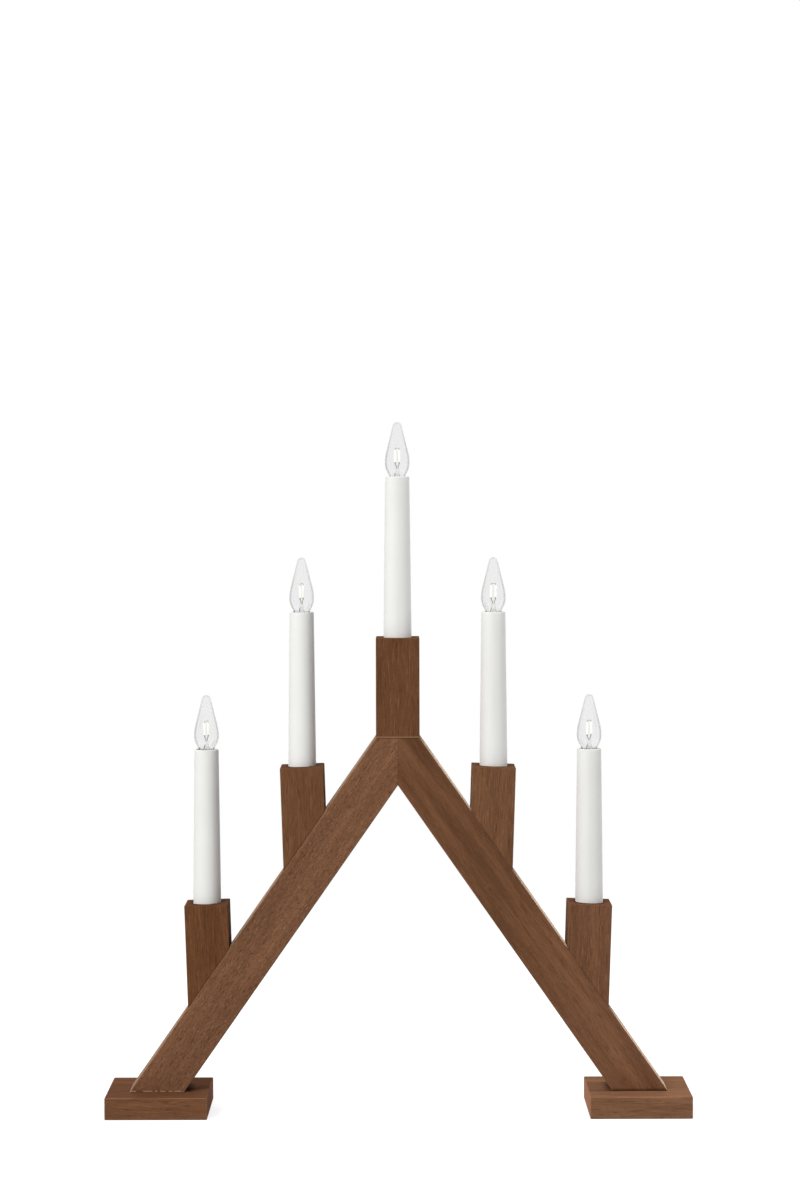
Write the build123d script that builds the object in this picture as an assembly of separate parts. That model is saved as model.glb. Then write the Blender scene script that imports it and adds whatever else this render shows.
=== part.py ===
from build123d import *
import math
import os

# Electric candle arch: two wooden beams lean together on two feet and carry five square posts.
# Each post holds a hollow candle tube with a small screw-in lamp in its top.
# Millimetres, +X right, +Y back, +Z up. The origin is on the table, midway between the feet.

# Timber
timber_depth = 27.0
beam_width = 27.5
post_width = 26.5
edge_ease = 0.6

# Arch
beam_angle = 55.1
half_span = 164.1
groove_width = 6.0
groove_depth = 6.0

# Feet
foot_side = 62.0
foot_height = 13.5
foot_overhang = 13.7

# Posts, the same side post at every place
centre_post_height = 60.5
side_post_length = 44.8
post_lean = 1.86
candle_pitch = 58.5
centre_bore_depth = 10.0
side_bore_depth = 14.0
wire_hole_radius = 2.5

# Dowels and screws
dowel_radius = 3.0
dowel_length = 20.0
dowel_offset = 8.0
glue_gap = 0.1
screw_radius = 2.0
screw_length = 35.0
screw_head_radius = 4.0
screw_head_edge = 0.5
screw_recess = 0.5
screw_point = 4.0
cross_width = 0.9
cross_depth = 1.6

# Small screw lamp: brass cap, black glass insulator and solder tip
cap_radius = 4.76
cap_wall = 0.35
cap_length = 10.5
cap_shoulder = 1.6
cap_end_radius = 3.3
insulator_height = 1.6
insulator_radius = 2.2
solder_radius = 1.5
solder_height = 1.2

# Lamp glass, a flame shape of arcs
glass_height = 36.7
glass_radius = 7.55
glass_wall = 0.5
belly_height = 11.7
upper_belly_arc = 27.5
lower_belly_arc = 11.2
tip_arc = 2.7
neck_insert = 4.0
cement_gap = 0.1

# Lamp stem, light bars and wires
stem_wall = 0.5
stem_flange = 0.8
stem_top_radius = 1.2
pinch_width = 3.0
pinch_depth = 1.5
pinch_height = 2.0
pinch_top = 8.5
bar_radius = 0.65
bar_length = 7.3
bar_spread = 1.9
bar_bottom = 12.2
wire_radius = 0.22
wire_gap = 1.5
wire_rise = 1.1
bridge_rise = 1.2
wire_bend = 0.5

# Lampholder, its threaded shell and its centre contact
thread_gap = 0.3
shell_wall = 0.3
shell_gap = 0.05
shell_recess = 1.0
holder_wall = 0.8
holder_recess = 2.0
holder_floor = 2.5
well_radius = 4.2
floor_hole_radius = 1.1
floor_hole_offset = 2.7
contact_gap = 0.3
leaf_height = 3.0
leaf_reach = 3.2
leaf_width = 2.6
leaf_thickness = 0.4
rivet_radius = 0.9
rivet_gap = 0.1
rivet_head_radius = 1.5
rivet_head_height = 0.5

# Candle tube
holder_gap = 0.15
tube_wall = 1.0
tube_taper = 1.3
tube_length = 108.0
tube_rim_round = 0.6
ledge_height = 1.5
ledge_reach = 1.6
bore_gap = 0.3
lamp_depth = 3.5

# How far each lamp was turned when it was screwed home, in degrees
lamp_turns = {"centre": 50.0, "upper_left": 63.0, "lower_left": 61.0, "upper_right": 43.0, "lower_right": 48.0}

# Slope of the beams and the lines that follow from it
slope = math.radians(beam_angle)
rise = math.tan(slope)
along_beam = Vector(-math.cos(slope), 0, math.sin(slope))
across_beam = Vector(math.sin(slope), 0, math.cos(slope))
footprint = beam_width / math.sin(slope)
inner_half_span = half_span - footprint
apex_height = foot_height + (half_span - post_width / 2) * rise
inner_apex_height = foot_height + inner_half_span * rise
foot_centre = half_span + foot_overhang - foot_side / 2
side_places = [candle_pitch, 2 * candle_pitch]

# Side posts lean outwards at the top, and their tops are square to their sides
lean = math.radians(post_lean)
up_post = Vector(math.sin(lean), 0, math.cos(lean))
across_post = Vector(math.cos(lean), 0, -math.sin(lean))
closing_rate = math.cos(lean) + math.sin(lean) * rise

# Radii that follow from the lamp's cap, outwards
shell_inner_radius = cap_radius + thread_gap
shell_outer_radius = shell_inner_radius + shell_wall
holder_bore_radius = shell_outer_radius + shell_gap
holder_radius = holder_bore_radius + holder_wall
tube_top_bore = holder_radius + holder_gap
tube_top_radius = tube_top_bore + tube_wall
tube_base_radius = tube_top_radius + tube_taper
bore_radius = tube_base_radius + bore_gap

# Heights in the lampholder, measured from the tube's rim at zero
lamp_end = -lamp_depth - cap_length - insulator_height - solder_height
leaf_top = lamp_end - contact_gap
well_floor = leaf_top - leaf_height
holder_bottom = well_floor - holder_floor
holder_top = -holder_recess
shell_top = holder_top - shell_recess
shell_length = cap_length + 0.5 * thread_gap


def turned(*points):
    """A solid of revolution about Z from a closed outline of (radius, height) points."""
    return revolve(Plane.XZ * make_face(Polyline(*points, close=True)), Axis.Z)


def upright_cylinder(radius, bottom, top, x=0.0, y=0.0):
    """A cylinder along Z between two heights."""
    return Pos(x, y, bottom) * extrude(Circle(radius), top - bottom)


def slab(points, depth):
    """A prism along Y, centred on the arch's middle plane, from (x, z) points."""
    face = Plane.XZ * make_face(Polyline(*points, close=True))
    return extrude(face, depth / 2, both=True)


def left_of(part):
    """The mirrored part on the left half of the arch."""
    return mirror(part, about=Plane.YZ)


def beam_top_at(x):
    """Height of the right beam's outer face."""
    return foot_height + (half_span - x) * rise


def post_top_at(x):
    """Height of the middle of a side post's top."""
    return beam_top_at(x) + side_post_length * closing_rate


def foot_of_line(point):
    """Where a line down from a point, along a side post, meets the beam's outer face."""
    travel = (point.Z - beam_top_at(point.X)) / closing_rate
    return point - up_post * travel


def joint_centre(x):
    """Middle of the glued joint under the side post whose top is at x."""
    return foot_of_line(Vector(x, 0, post_top_at(x)))


def tube_base_at(x):
    """Height of the floor of the bore in the post at x."""
    if x == 0:
        return apex_height + centre_post_height - centre_bore_depth
    return post_top_at(abs(x)) - side_bore_depth


def wire_way(x):
    """The drilled way from a bore's floor down into the groove under the beam."""
    bottom = foot_height + (inner_half_span - x) * rise
    return upright_cylinder(wire_hole_radius, bottom, tube_base_at(x), x)


def candle_bore(x):
    """The round bore that takes a candle tube."""
    floor = tube_base_at(x)
    return upright_cylinder(bore_radius, floor, floor + centre_bore_depth + side_bore_depth, x)


def along(start, end, y, radius, trim=0.0):
    """A cylinder between two points of the middle plane, moved back by y and shortened at both ends."""
    axis = (end - start).normalized()
    base = Plane(origin=start + axis * trim + Vector(0, y, 0), z_dir=axis)
    return extrude(base * Circle(radius), (end - start).length - 2 * trim)


def dowel_lines():
    """Start, end and y of each dowel on the right half and in the middle."""
    half = dowel_length / 2
    lines = []
    for x in side_places:
        centre = joint_centre(x)
        for y in (-dowel_offset, dowel_offset):
            lines.append((centre - across_beam * half, centre + across_beam * half, y))
    return lines


def middle_dowel_lines():
    """The dowels under the centre post and the ones through the mitre."""
    half = dowel_length / 2
    seam_height = (apex_height + inner_apex_height) / 2
    lines = []
    for x in (-dowel_offset, dowel_offset):
        lines.append((Vector(x, 0, apex_height - half), Vector(x, 0, apex_height + half), 0.0))
    for y in (-dowel_offset, dowel_offset):
        lines.append((Vector(-half, 0, seam_height), Vector(half, 0, seam_height), y))
    return lines


def dowels_from(lines, radius, trim):
    """Cylinders on a list of dowel lines."""
    return [along(start, end, y, radius, trim) for start, end, y in lines]


def dowel_holes():
    """Every dowel hole on the right half and in the middle, a little deeper than its dowel."""
    return dowels_from(dowel_lines() + middle_dowel_lines(), dowel_radius + glue_gap, -glue_gap)


def screw_places():
    """The two screws up into the right beam's end."""
    bite = screw_length + screw_recess - foot_height
    x = half_span - footprint / 2 - bite / 2 / rise
    return [(x, -dowel_offset), (x, dowel_offset)]


def screw_outline(gap):
    """Half outline of a countersunk screw, grown by a gap for its hole."""
    head = screw_head_radius + gap
    shank = screw_radius + gap
    head_bottom = screw_recess
    cone_start = head_bottom + screw_head_edge
    cone_end = cone_start + screw_head_radius - screw_radius
    tip = screw_recess + screw_length + gap
    start = 0 if gap else head_bottom
    return [(0, start), (head, start), (head, cone_start), (shank, cone_end), (shank, tip - screw_point), (0, tip)]


def foot_screw():
    """A countersunk screw, point up, with a cross recess in its head."""
    screw = turned(*screw_outline(0))
    for length, width in ((screw_head_radius, cross_width), (cross_width, screw_head_radius)):
        screw -= Pos(0, 0, screw_recess) * Box(length, width, 2 * cross_depth)
    return screw


def screw_holes():
    """Countersunk ways through the foot and up into the beam."""
    return [Pos(x, y, 0) * turned(*screw_outline(glue_gap)) for x, y in screw_places()]


def eased(part, edges):
    """Soften chosen edges."""
    return fillet(edges, edge_ease) if edge_ease > 0 else part


def foot():
    """Right foot, a square block with softened edges."""
    block = Pos(foot_centre, 0, foot_height / 2) * Box(foot_side, foot_side, foot_height)
    block = eased(block, block.edges())
    for hole in screw_holes():
        block -= hole
    return block


def beam():
    """Right beam: foot cut level, mitred at the middle, tip cut flat for the centre post."""
    body = slab(
        [(half_span, foot_height), (post_width / 2, apex_height), (0, apex_height), (0, inner_apex_height),
         (inner_half_span, foot_height)],
        timber_depth,
    )
    body = eased(body, body.edges().filter_by(Axis((0, 0, 0), tuple(along_beam))))
    inner_foot = Vector(inner_half_span, 0, foot_height)
    run = inner_half_span / math.cos(slope)
    low = inner_foot - along_beam * beam_width
    high = inner_foot + along_beam * (run + beam_width)
    corners = [
        low - across_beam * groove_depth,
        high - across_beam * groove_depth,
        high + across_beam * groove_depth,
        low + across_beam * groove_depth,
    ]
    body -= slab([(corner.X, corner.Z) for corner in corners], groove_width)
    for x in (0, *side_places):
        body -= wire_way(x)
    for hole in dowel_holes() + screw_holes():
        body -= hole
    return body


def side_post(x):
    """A post cut to the beam's slope, bored upright in its leaning top."""
    top = Vector(x, 0, post_top_at(x))
    outer = top + across_post * (post_width / 2)
    inner = top - across_post * (post_width / 2)
    corners = [outer, inner, foot_of_line(inner), foot_of_line(outer)]
    body = slab([(corner.X, corner.Z) for corner in corners], timber_depth)
    off_joint = [edge for edge in body.edges() if (edge @ 0.5).Z - beam_top_at((edge @ 0.5).X) > edge_ease]
    body = eased(body, off_joint)
    for cutter in [candle_bore(x), wire_way(x)] + dowel_holes():
        body -= cutter
    return body


def centre_post():
    """The square post on the flat tip of the mitre."""
    middle = apex_height + centre_post_height / 2
    body = Pos(0, 0, middle) * Box(post_width, timber_depth, centre_post_height)
    off_joint = [edge for edge in body.edges() if (edge @ 0.5).Z > apex_height + edge_ease]
    body = eased(body, off_joint)
    for cutter in [candle_bore(0), wire_way(0)] + dowel_holes():
        body -= cutter
    return body


def candle_tube():
    """Hollow tapered tube with a ledge inside for the lampholder, its rim at zero."""
    draft = tube_taper / tube_length
    ledge_top = holder_bottom
    ledge_base = ledge_top - ledge_height
    ledge_radius = holder_radius - ledge_reach
    tube = turned(
        (tube_top_radius, 0),
        (tube_base_radius, -tube_length),
        (tube_base_radius - tube_wall, -tube_length),
        (tube_top_bore - ledge_base * draft, ledge_base),
        (ledge_radius, ledge_base),
        (ledge_radius, ledge_top),
        (tube_top_bore - ledge_top * draft, ledge_top),
        (tube_top_bore, 0),
    )
    rim = tube.edges().filter_by(GeomType.CIRCLE).filter_by(lambda edge: abs((edge @ 0).Z) < glue_gap)
    return fillet(rim.sort_by(SortBy.LENGTH)[-1], tube_rim_round)


def lampholder():
    """Moulded insert with a bore for the threaded shell, a well for the contact and wire holes."""
    shell_seat = shell_top - shell_length
    holder = turned(
        (holder_bore_radius, holder_top),
        (holder_radius, holder_top),
        (holder_radius, holder_bottom),
        (0, holder_bottom),
        (0, well_floor),
        (well_radius, well_floor),
        (well_radius, shell_seat),
        (holder_bore_radius, shell_seat),
    )
    for x in (-floor_hole_offset, floor_hole_offset):
        holder -= upright_cylinder(floor_hole_radius, holder_bottom, well_floor, 0, x)
    return holder - upright_cylinder(rivet_radius + rivet_gap, holder_bottom, well_floor)


def socket_shell():
    """Brass sleeve that the lamp's cap screws into."""
    bottom = shell_top - shell_length
    return turned(
        (shell_inner_radius, shell_top),
        (shell_outer_radius, shell_top),
        (shell_outer_radius, bottom),
        (shell_inner_radius, bottom),
    )


def centre_contact():
    """Hairpin leaf spring, riveted through the lampholder's floor."""
    half = leaf_thickness / 2
    bend = (leaf_height - leaf_thickness) / 2
    low = well_floor + half
    high = leaf_top - half
    turn_x = leaf_reach - bend
    path = [
        Line((-leaf_reach / 2, low), (turn_x, low)),
        ThreePointArc((turn_x, low), (turn_x + bend, (low + high) / 2), (turn_x, high)),
        Line((turn_x, high), (-leaf_reach / 2, high)),
    ]
    strip = Plane.XZ * trace(Curve() + path, leaf_thickness)
    leaf = extrude(strip, leaf_width / 2, both=True)
    head_top = holder_bottom
    leaf += upright_cylinder(rivet_radius, head_top, well_floor + half)
    leaf += upright_cylinder(rivet_head_radius, head_top - rivet_head_height, head_top)
    return leaf


def glass_outline(inset):
    """Half outline of the flame shape from its neck up, drawn in by an inset."""
    neck = cap_radius - cap_wall - cement_gap - inset
    belly = glass_radius - inset
    upper = upper_belly_arc - inset
    lower = lower_belly_arc - inset
    tip = tip_arc - inset
    tip_centre = glass_height - tip_arc
    reach = neck - belly + lower
    neck_arc = (reach**2 + belly_height**2 - lower**2) / (2 * (belly - neck))
    lower_turn = math.atan2(belly_height, reach + neck_arc)
    span = math.hypot(upper - belly, tip_centre - belly_height)
    flank = math.atan2(tip_centre - belly_height, upper - belly) - math.acos((upper - tip) / span)

    def on_arc(centre, radius, angle):
        return (centre[0] + radius * math.cos(angle), centre[1] + radius * math.sin(angle))

    neck_centre = (neck + neck_arc, 0)
    lower_centre = (belly - lower, belly_height)
    upper_centre = (belly - upper, belly_height)
    join_low = on_arc(lower_centre, lower, -lower_turn)
    join_high = on_arc(upper_centre, upper, flank)
    tip_start = on_arc((0, tip_centre), tip, flank)
    return [
        Line((0, -neck_insert), (neck, -neck_insert)),
        Line((neck, -neck_insert), (neck, 0)),
        ThreePointArc((neck, 0), on_arc(neck_centre, neck_arc, math.pi - lower_turn / 2), join_low),
        ThreePointArc(join_low, on_arc(lower_centre, lower, -lower_turn / 2), (belly, belly_height)),
        ThreePointArc((belly, belly_height), on_arc(upper_centre, upper, flank / 2), join_high),
        Line(join_high, tip_start),
        ThreePointArc(tip_start, on_arc((0, tip_centre), tip, (flank + math.pi / 2) / 2), (0, tip_centre + tip)),
        Line((0, tip_centre + tip), (0, -neck_insert)),
    ]


def lamp_glass():
    """Thin clear flame-shaped glass, open at its neck. The cap's rim is at zero."""
    outside, inside = (
        revolve(Plane.XZ * make_face(Curve() + glass_outline(inset)), Axis.Z) for inset in (0, glass_wall)
    )
    return outside - inside


def lamp_stem():
    """Flared glass tube that closes the neck, flattened at its top where the wires pass."""
    neck = cap_radius - cap_wall - cement_gap
    flange_top = -neck_insert
    flange_base = flange_top - stem_flange
    flare = neck - 2 * glass_wall
    pinch_base = pinch_top - pinch_height
    stem = turned(
        (neck, flange_base),
        (neck, flange_top),
        (flare, flange_top),
        (stem_top_radius, pinch_base),
        (stem_top_radius - stem_wall, pinch_base),
        (flare - 2 * stem_wall, flange_base),
    )
    return stem + Pos(0, 0, pinch_base + pinch_height / 2) * Box(pinch_width, pinch_depth, pinch_height)


def light_bars():
    """The two bars that give the light."""
    bars = [upright_cylinder(bar_radius, bar_bottom, bar_bottom + bar_length, x) for x in (-bar_spread, bar_spread)]
    return Compound(children=bars)


def lamp_wire(points):
    """A round wire along points of the XZ plane, with rounded corners."""
    path = FilletPolyline(*[(x, 0, z) for x, z in points], radius=wire_bend)
    start = Plane(origin=path @ 0, z_dir=path % 0)
    return sweep(start * Circle(wire_radius), path)


def lamp_wires():
    """The two lead wires up from the stem and the bridge over the bars."""
    bar_top = bar_bottom + bar_length
    knee = pinch_top + wire_rise
    elbow = bar_bottom - wire_rise
    wires = [
        lamp_wire([(side * wire_gap / 2, pinch_top), (side * wire_gap / 2, knee), (side * bar_spread, elbow),
                   (side * bar_spread, bar_bottom)])
        for side in (-1, 1)
    ]
    bridge = lamp_wire([(-bar_spread, bar_top), (-bar_spread, bar_top + bridge_rise),
                        (bar_spread, bar_top + bridge_rise), (bar_spread, bar_top)])
    return Compound(children=wires + [bridge])


def lamp_cap():
    """Brass screw cap, open at both ends, drawn in at the bottom."""
    shoulder = cap_shoulder - cap_length
    inner = cap_radius - cap_wall
    return turned(
        (inner, 0),
        (cap_radius, 0),
        (cap_radius, shoulder),
        (cap_end_radius, -cap_length),
        (cap_end_radius - cap_wall, -cap_length),
        (inner, shoulder),
    )


def cap_base():
    """Black glass insulator and the solder tip under it."""
    bottom = -cap_length - insulator_height
    insulator = turned((0, -cap_length), (cap_end_radius, -cap_length), (insulator_radius, bottom), (0, bottom))
    crown = solder_height / 2
    face = make_face(
        Curve() + [
            Line((0, bottom), (solder_radius, bottom)),
            Line((solder_radius, bottom), (solder_radius, bottom - crown)),
            Line((solder_radius, bottom - crown), (solder_radius / 2, bottom - solder_height)),
            Line((solder_radius / 2, bottom - solder_height), (0, bottom - solder_height)),
            Line((0, bottom - solder_height), (0, bottom)),
        ]
    )
    return Compound(children=[insulator, revolve(Plane.XZ * face, Axis.Z)])


def save(part, node):
    """Write one named piece."""
    export_step(part, f"parts/{node}.step")


os.makedirs("parts", exist_ok=True)

upper, lower = side_places
places = {"centre": 0, "upper_left": -upper, "lower_left": -lower, "upper_right": upper, "lower_right": lower}

right_foot = foot()
right_beam = beam()
save(right_foot, "foot_right")
save(left_of(right_foot), "foot_left")
save(right_beam, "beam_right")
save(left_of(right_beam), "beam_left")
save(centre_post(), "post_centre")
for name, x in places.items():
    if x > 0:
        save(side_post(x), f"post_{name}")
    elif x < 0:
        save(left_of(side_post(-x)), f"post_{name}")

side_dowels = dowels_from(dowel_lines(), dowel_radius, glue_gap)
middle_dowels = dowels_from(middle_dowel_lines(), dowel_radius, glue_gap)
save(Compound(children=middle_dowels + side_dowels + [left_of(dowel) for dowel in side_dowels]), "dowels")

right_screws = [Pos(x, y, 0) * foot_screw() for x, y in screw_places()]
save(Compound(children=right_screws + [left_of(screw) for screw in right_screws]), "foot_screws")

tube = candle_tube()
contacts = []
for name, x in places.items():
    rim = Pos(x, 0, tube_base_at(x) + tube_length)
    seat = rim * Pos(0, 0, -lamp_depth) * Rot(0, 0, lamp_turns[name])
    save(rim * tube, f"candle_tube_{name}")
    save(rim * lampholder(), f"lampholder_{name}")
    save(rim * socket_shell(), f"socket_shell_{name}")
    contacts.append(rim * centre_contact())
    save(seat * lamp_glass(), f"lamp_glass_{name}")
    save(seat * lamp_stem(), f"lamp_stem_{name}")
    save(seat * light_bars(), f"lamp_bars_{name}")
    save(seat * lamp_wires(), f"lamp_wires_{name}")
    save(seat * lamp_cap(), f"lamp_cap_{name}")
    save(seat * cap_base(), f"lamp_base_{name}")
save(Compound(children=contacts), "centre_contacts")
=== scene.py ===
"""Electric candle arch.

Two stained wooden beams lean together on square feet and carry five posts, each with a white
candle tube and a small clear screw lamp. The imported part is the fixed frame. This script gives its
pieces their finishes, turns and threads the round ones, and sets a plain studio round them.
"""

import logging
import math
from dataclasses import dataclass, field
from enum import Enum
from typing import Any

import bmesh
import bpy
from mathutils import Matrix, Vector


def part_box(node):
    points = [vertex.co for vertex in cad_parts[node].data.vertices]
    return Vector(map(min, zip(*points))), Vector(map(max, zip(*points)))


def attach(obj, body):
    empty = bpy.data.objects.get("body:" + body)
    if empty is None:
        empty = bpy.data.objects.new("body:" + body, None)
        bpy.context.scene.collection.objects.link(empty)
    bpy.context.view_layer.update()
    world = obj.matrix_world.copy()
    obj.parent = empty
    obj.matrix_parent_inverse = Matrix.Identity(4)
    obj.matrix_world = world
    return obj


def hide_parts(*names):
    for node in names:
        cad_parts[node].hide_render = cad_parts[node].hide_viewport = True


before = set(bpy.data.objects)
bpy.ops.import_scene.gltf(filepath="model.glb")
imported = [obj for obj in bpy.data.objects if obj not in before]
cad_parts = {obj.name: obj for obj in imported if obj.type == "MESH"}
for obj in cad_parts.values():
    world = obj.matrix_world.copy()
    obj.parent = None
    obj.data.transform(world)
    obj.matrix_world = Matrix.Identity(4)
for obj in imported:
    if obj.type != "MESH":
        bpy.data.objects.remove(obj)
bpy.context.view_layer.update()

MM = 0.001
# Farther than any piece reaches, in millimetres
OPEN_END = 9000.0
log = logging.getLogger("candle_arch")


class Place(Enum):
    """The five candles: their name in the nodes, steps from the middle, and the lamp's turn."""

    CENTRE = ("centre", 0, 50.0)
    UPPER_LEFT = ("upper_left", -1, 63.0)
    LOWER_LEFT = ("lower_left", -2, 61.0)
    UPPER_RIGHT = ("upper_right", 1, 43.0)
    LOWER_RIGHT = ("lower_right", 2, 48.0)

    @property
    def label(self) -> str:
        """The name that the place's nodes end in."""
        return self.value[0]

    @property
    def side(self) -> int:
        """-1 on the left, 0 in the middle and 1 on the right."""
        return (self.value[1] > 0) - (self.value[1] < 0)

    @property
    def lamp_turn(self) -> float:
        """How far the lamp is turned when it is home, in degrees."""
        return self.value[2]


def linear(colour: str) -> tuple[float, float, float, float]:
    """Turn an sRGB hex colour to linear light.

    Args:
        colour: six hex digits after a hash.

    Returns:
        Red, green, blue and an alpha of 1.
    """
    parts = [int(colour[i:i + 2], 16) / 255 for i in (1, 3, 5)]
    return (*[c / 12.92 if c <= 0.04045 else ((c + 0.055) / 1.055) ** 2.4 for c in parts], 1.0)


def add(tree: bpy.types.NodeTree, kind: str, inputs: dict[str | int, Any] | None = None,
        **settings: Any) -> bpy.types.Node:
    """Add a node with its settings and links.

    Args:
        tree: the tree that takes it.
        kind: the node's type.
        inputs: an input's name or number, with its value, or the node or socket that feeds it.
        **settings: the node's own properties.

    Returns:
        The new node.
    """
    node = tree.nodes.new(kind)
    for name, value in settings.items():
        setattr(node, name, value)
    for key, value in (inputs or {}).items():
        if isinstance(key, str):
            socket = next(s for s in node.inputs if s.enabled and s.name == key)
        else:
            socket = node.inputs[key]
        if isinstance(value, bpy.types.Node):
            value = next(s for s in value.outputs if s.enabled)
        if isinstance(value, bpy.types.NodeSocket):
            tree.links.new(value, socket)
        else:
            socket.default_value = value
    return node


def new_material(name: str) -> tuple[bpy.types.Material, bpy.types.NodeTree, bpy.types.Node]:
    """Make an empty material.

    Args:
        name: the finish's common name.

    Returns:
        The material, its tree and its Object coordinates node.
    """
    material = bpy.data.materials.new(name)
    material.use_nodes = True
    tree = material.node_tree
    tree.nodes.clear()
    return material, tree, add(tree, "ShaderNodeTexCoord")


def surface(tree: bpy.types.NodeTree, inputs: dict[str | int, Any]) -> None:
    """Close a material with its shader.

    Args:
        tree: the material's tree.
        inputs: the shader's values and links.
    """
    shader = add(tree, "ShaderNodeBsdfPrincipled", inputs)
    add(tree, "ShaderNodeOutputMaterial", {"Surface": shader})


def mottled(tree: bpy.types.NodeTree, place: Any, fineness: float, detail: float,
            colours: tuple[str, str]) -> tuple[bpy.types.Node, bpy.types.Node]:
    """Two colours that run into each other by a fine noise.

    Args:
        tree: the material's tree.
        place: the coordinates.
        fineness: marks to the millimetre.
        detail: octaves.
        colours: the two colours, in hex.

    Returns:
        The noise and the colour.
    """
    noise = add(tree, "ShaderNodeTexNoise", {"Vector": place, "Scale": fineness / MM,
                                             "Detail": detail})
    colour = add(tree, "ShaderNodeMix", {"Factor": noise, "A": linear(colours[0]),
                                         "B": linear(colours[1])}, data_type="RGBA")
    return noise, colour


@dataclass(frozen=True)
class GlueAndShadeLine:
    """Lines across a timber's face along a plane: glue lines, and painted shade where parts meet.

    The plane is normal . point = offset, in millimetres, with the normal in the arch's own plane.
    The line reaches to depth either side of the arch's middle plane, and breaks up into dashes
    where it has a dash.
    """

    normal: tuple[float, float]
    offset: float
    width: float
    colour: str
    strength: float
    depth: float = OPEN_END
    dash: float = 0.0


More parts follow.
